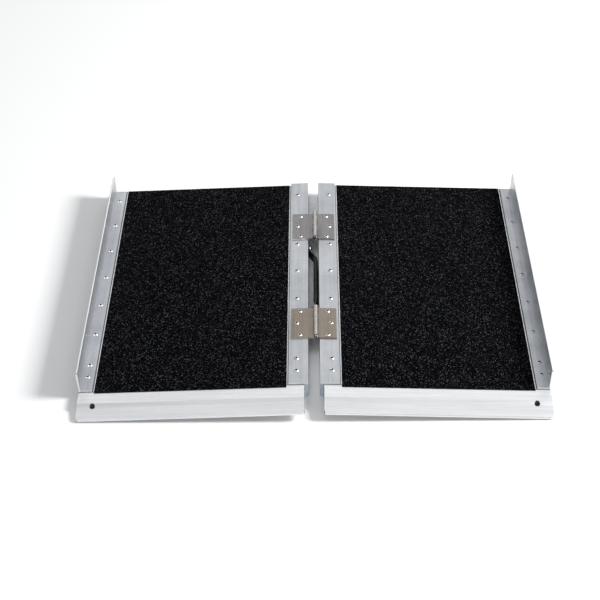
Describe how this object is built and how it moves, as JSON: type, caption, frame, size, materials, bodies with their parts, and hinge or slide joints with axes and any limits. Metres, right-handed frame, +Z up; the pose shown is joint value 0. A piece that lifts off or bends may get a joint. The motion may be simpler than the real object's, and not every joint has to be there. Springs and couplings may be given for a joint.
{
  "type": "portable wheelchair ramp",
  "caption": "Portable folding wheelchair ramp: riveted aluminium panels with grit mats, side guards and pinned top lips, joined lengthwise by butt hinges, with a carrying handle in the gap.",
  "frame": {"origin": "on the floor, under the centre of the open ramp's footprint", "axes": "+X across the ramp, +Y along it from the top lip to the bottom end, +Z up; the ramp lies open on the floor"},
  "size_m": [0.7398, 0.61, 0.052],
  "materials": {
    "mill_aluminium": "mill-finish extrusion, drawn lengthwise, lightly smudged",
    "lip_aluminium": "brighter mill-finish extrusion with fine lengthwise lines",
    "rivet_aluminium": "bright tumbled blind rivets",
    "grit": "black self-adhesive mineral grit sheet with pale sparkling grains",
    "hinge_steel": "warm grey plated sheet steel, satin",
    "pin_steel": "bright drawn steel",
    "band_steel": "dark spring steel band",
    "screw_steel": "zinc-plated button heads",
    "grip_rubber": "black moulded rubber, satin, finely ribbed"
  },
  "bodies": {
    "left_panel": {"left_outer_rail": "mill_aluminium", "left_centre_rail": "mill_aluminium", "left_top_lip": "lip_aluminium", "left_plank_1": "mill_aluminium", "left_plank_2": "mill_aluminium", "left_plank_3": "mill_aluminium", "left_plank_4": "mill_aluminium", "left_plank_5": "mill_aluminium", "left_plank_6": "mill_aluminium", "left_toe": "mill_aluminium", "left_grit_mat": "grit", "left_outer_rivets": "rivet_aluminium", "left_centre_rivets": "rivet_aluminium", "left_hinge_rivets": "rivet_aluminium", "top_hinge_left_leaf": "hinge_steel", "top_hinge_pin": "pin_steel", "bottom_hinge_left_leaf": "hinge_steel", "bottom_hinge_pin": "pin_steel", "handle_band": "band_steel", "handle_grip": "grip_rubber", "handle_screws": "screw_steel"},
    "right_panel": {"right_outer_rail": "mill_aluminium", "right_centre_rail": "mill_aluminium", "right_top_lip": "lip_aluminium", "right_plank_1": "mill_aluminium", "right_plank_2": "mill_aluminium", "right_plank_3": "mill_aluminium", "right_plank_4": "mill_aluminium", "right_plank_5": "mill_aluminium", "right_plank_6": "mill_aluminium", "right_toe": "mill_aluminium", "right_grit_mat": "grit", "right_outer_rivets": "rivet_aluminium", "right_centre_rivets": "rivet_aluminium", "right_hinge_rivets": "rivet_aluminium", "top_hinge_right_leaf": "hinge_steel", "bottom_hinge_right_leaf": "hinge_steel"}
  },
  "joints": [
    {"name": "main_fold", "type": "hinge", "parent": "left_panel", "child": "right_panel", "pos_m": [0.0033, 0, 0.03379], "axis": [0, -1, 0], "range_deg": [0, 179.5]}
  ]
}
